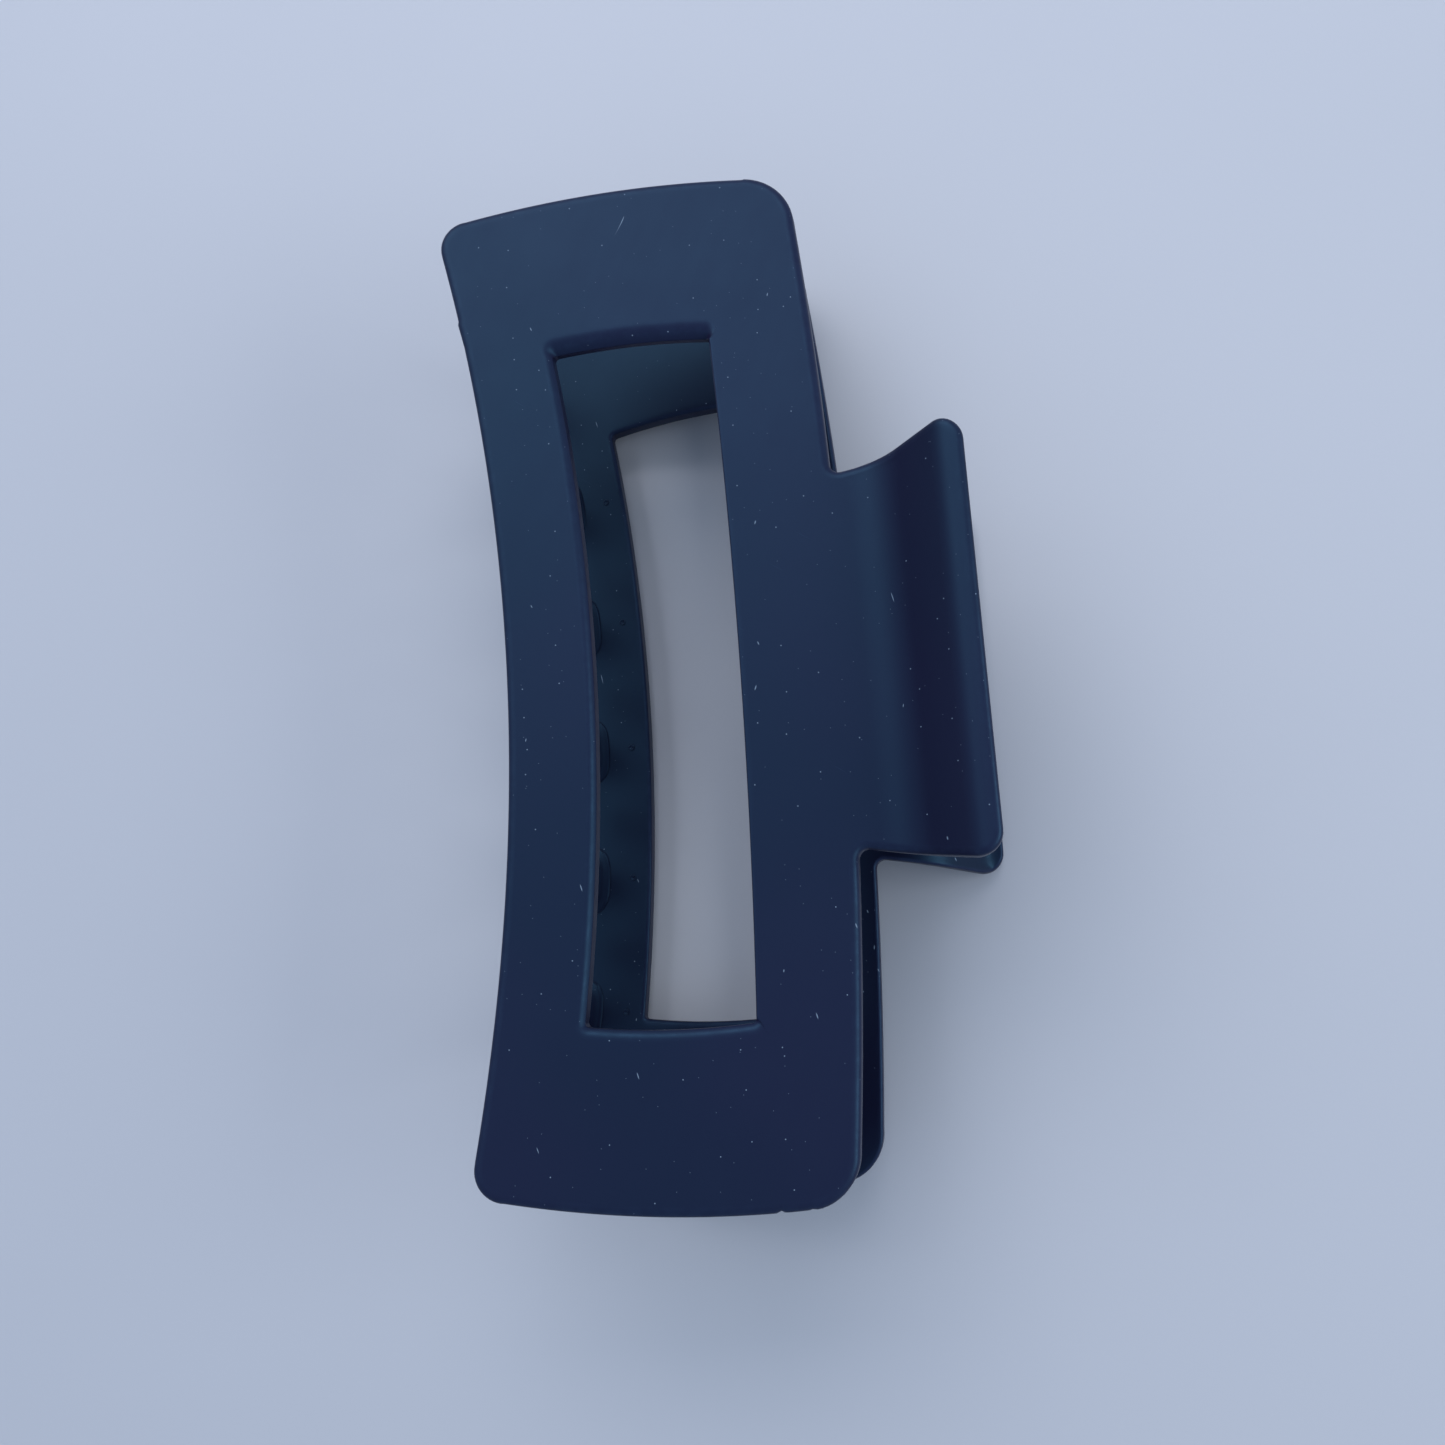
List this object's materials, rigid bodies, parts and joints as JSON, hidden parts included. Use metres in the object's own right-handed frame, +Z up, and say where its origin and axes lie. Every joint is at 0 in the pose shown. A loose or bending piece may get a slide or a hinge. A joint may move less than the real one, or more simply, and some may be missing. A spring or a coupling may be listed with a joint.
{
  "type": "claw clip",
  "caption": "Rectangular hair claw clip: windowed plates with interlocking teeth and thumb tabs, sprung on a hinge pin.",
  "frame": {"origin": "centre of the bottom of the closed clip's box, on the surface that the lower jaw lies on", "axes": "+X towards the thumb tabs, +Y along the hinge pin and the long side, +Z up from the surface, square to the clip's mid-plane"},
  "size_m": [0.0554, 0.11, 0.031],
  "materials": {
    "jaw_plastic": "satin blue-black moulded plastic with a rubbery matte coat",
    "pin_steel": "bright drawn wire",
    "spring_steel": "nickel-plated spring wire"
  },
  "bodies": {
    "lower": {"jaw_lower": "jaw_plastic", "hinge_pin": "pin_steel", "torsion_spring": "spring_steel"},
    "upper": {"jaw_upper": "jaw_plastic"}
  },
  "joints": [
    {"name": "jaw_hinge", "type": "hinge", "parent": "lower", "child": "upper", "pos_m": [0.01465, 0, 0.0155], "axis": [0, 1, 0], "range_deg": [0, 86], "stiffness_Nm_per_rad": 0.09, "springref_deg": -68.75, "deforming": ["torsion_spring"]}
  ]
}
